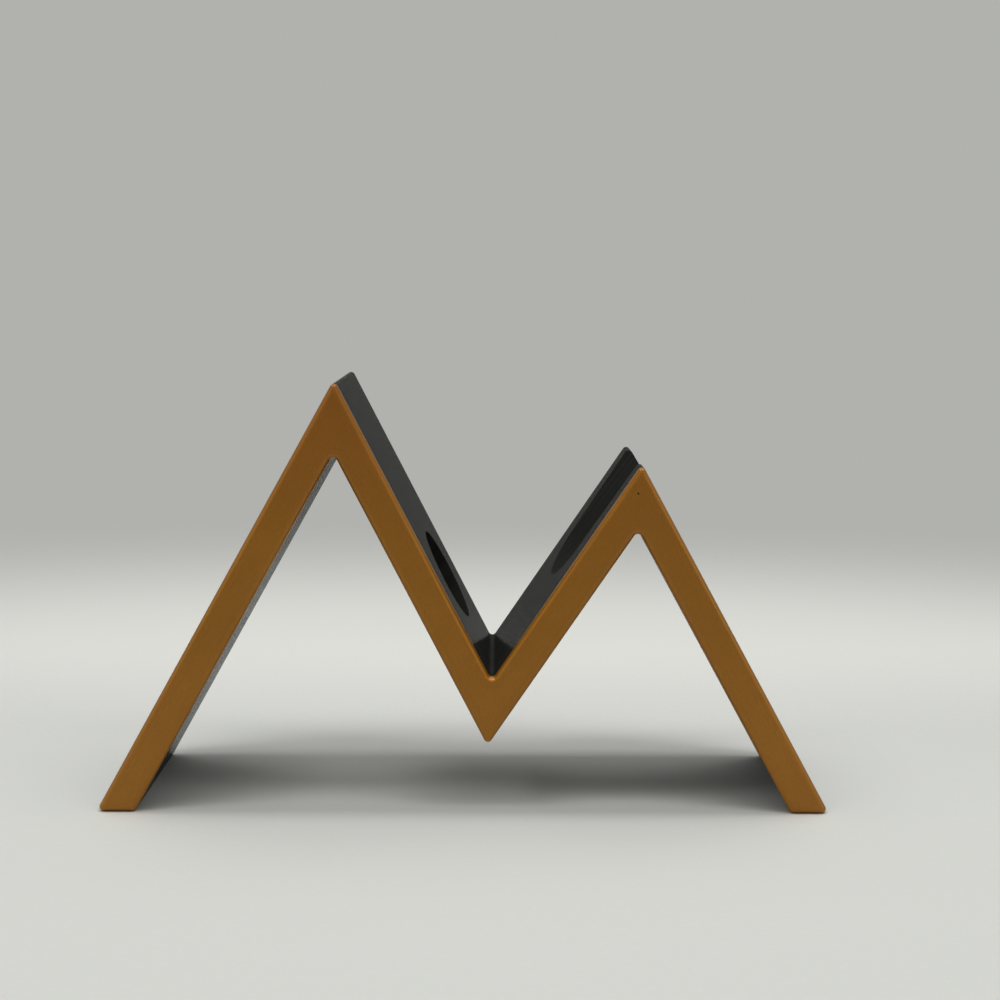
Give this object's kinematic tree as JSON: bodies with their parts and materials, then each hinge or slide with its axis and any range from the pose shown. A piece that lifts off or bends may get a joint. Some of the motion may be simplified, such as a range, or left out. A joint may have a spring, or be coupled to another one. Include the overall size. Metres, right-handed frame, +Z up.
{
  "type": "wine bottle holder",
  "caption": "Wine bottle holder: a thick strip folded like mountain peaks, with a slanted neck hole, a scooped barrel cradle and a bronze front face on a black body",
  "frame": {"origin": "on the table, midway between the toes of the two feet and midway through the depth", "axes": "+X along the length towards the lower peak, +Y through the depth from the bronze front face towards the back, +Z up"},
  "size_m": [0.2818, 0.07, 0.1656],
  "materials": {
    "black_print": "satin black printed plastic with fine layer lines",
    "bronze_print": "silky bronze printed plastic with fine tool-path lines"
  },
  "bodies": {
    "root": {"body": "black_print", "front_face": "bronze_print"}
  },
  "joints": []
}
